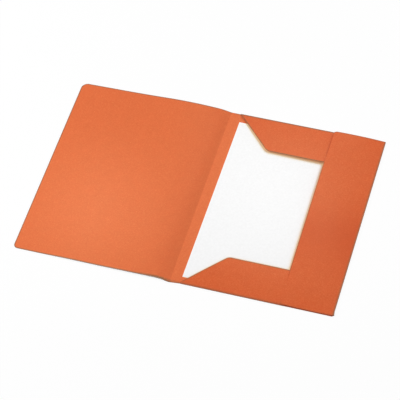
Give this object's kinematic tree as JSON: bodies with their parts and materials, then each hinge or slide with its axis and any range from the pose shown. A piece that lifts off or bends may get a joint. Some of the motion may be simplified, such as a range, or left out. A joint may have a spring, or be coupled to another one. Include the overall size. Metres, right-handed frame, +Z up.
{
  "type": "three-flap folder",
  "caption": "Open card document folder with a double-creased spine and top, bottom and side flaps folded in over loose sheets of paper.",
  "frame": {"origin": "on the table, under the middle of the open folder", "axes": "+X across the open folder from the front cover to the side flap, +Y up the spine to the top flap, +Z up from the table"},
  "size_m": [0.4774, 0.325, 0.0054],
  "materials": {
    "orange_card": "matt dyed card",
    "creased_card": "matt dyed card, scored and folded",
    "white_paper": "uncoated white writing paper"
  },
  "bodies": {
    "back": {"back_cover": "orange_card", "back_crease": "creased_card", "top_fold": "creased_card", "bottom_fold": "creased_card", "side_fold": "creased_card"},
    "spine": {"spine": "orange_card", "front_crease": "creased_card"},
    "front": {"front_cover": "orange_card"},
    "top_flap": {"top_flap": "orange_card"},
    "bottom_flap": {"bottom_flap": "orange_card"},
    "side_flap": {"side_flap": "orange_card"},
    "sheets": {"paper_sheets": "white_paper"}
  },
  "joints": [
    {"name": "spine_fold", "type": "hinge", "parent": "back", "child": "spine", "pos_m": [-0.00135, 0, 0.0005], "axis": [0, 1, 0], "range_deg": [0, 73]},
    {"name": "cover_fold", "type": "hinge", "parent": "spine", "child": "front", "pos_m": [-0.01282, 0, 0.00401], "axis": [0, 1, 0], "range_deg": [0, 109.5]},
    {"name": "top_flap_fold", "type": "hinge", "parent": "back", "child": "top_flap", "pos_m": [0.08625, 0.1614, 0.0011], "axis": [-1, 0, 0], "range_deg": [0, 177.6], "deforming": ["top_fold"]},
    {"name": "bottom_flap_fold", "type": "hinge", "parent": "back", "child": "bottom_flap", "pos_m": [0.08625, -0.1614, 0.0011], "axis": [1, 0, 0], "range_deg": [0, 179], "deforming": ["bottom_fold"]},
    {"name": "side_flap_fold", "type": "hinge", "parent": "back", "child": "side_flap", "pos_m": [0.23725, 0, 0.0014], "axis": [0, 1, 0], "range_deg": [0, 176.5], "deforming": ["side_fold"]},
    {"name": "sheet_slide", "type": "slide", "parent": "back", "child": "sheets", "axis": [-1, 0, 0], "range_m": [-0.012, 0.012]}
  ],
  "couplings": [
    {"joint": "spine_fold", "follows": "cover_fold", "ratio": 0.6666}
  ]
}
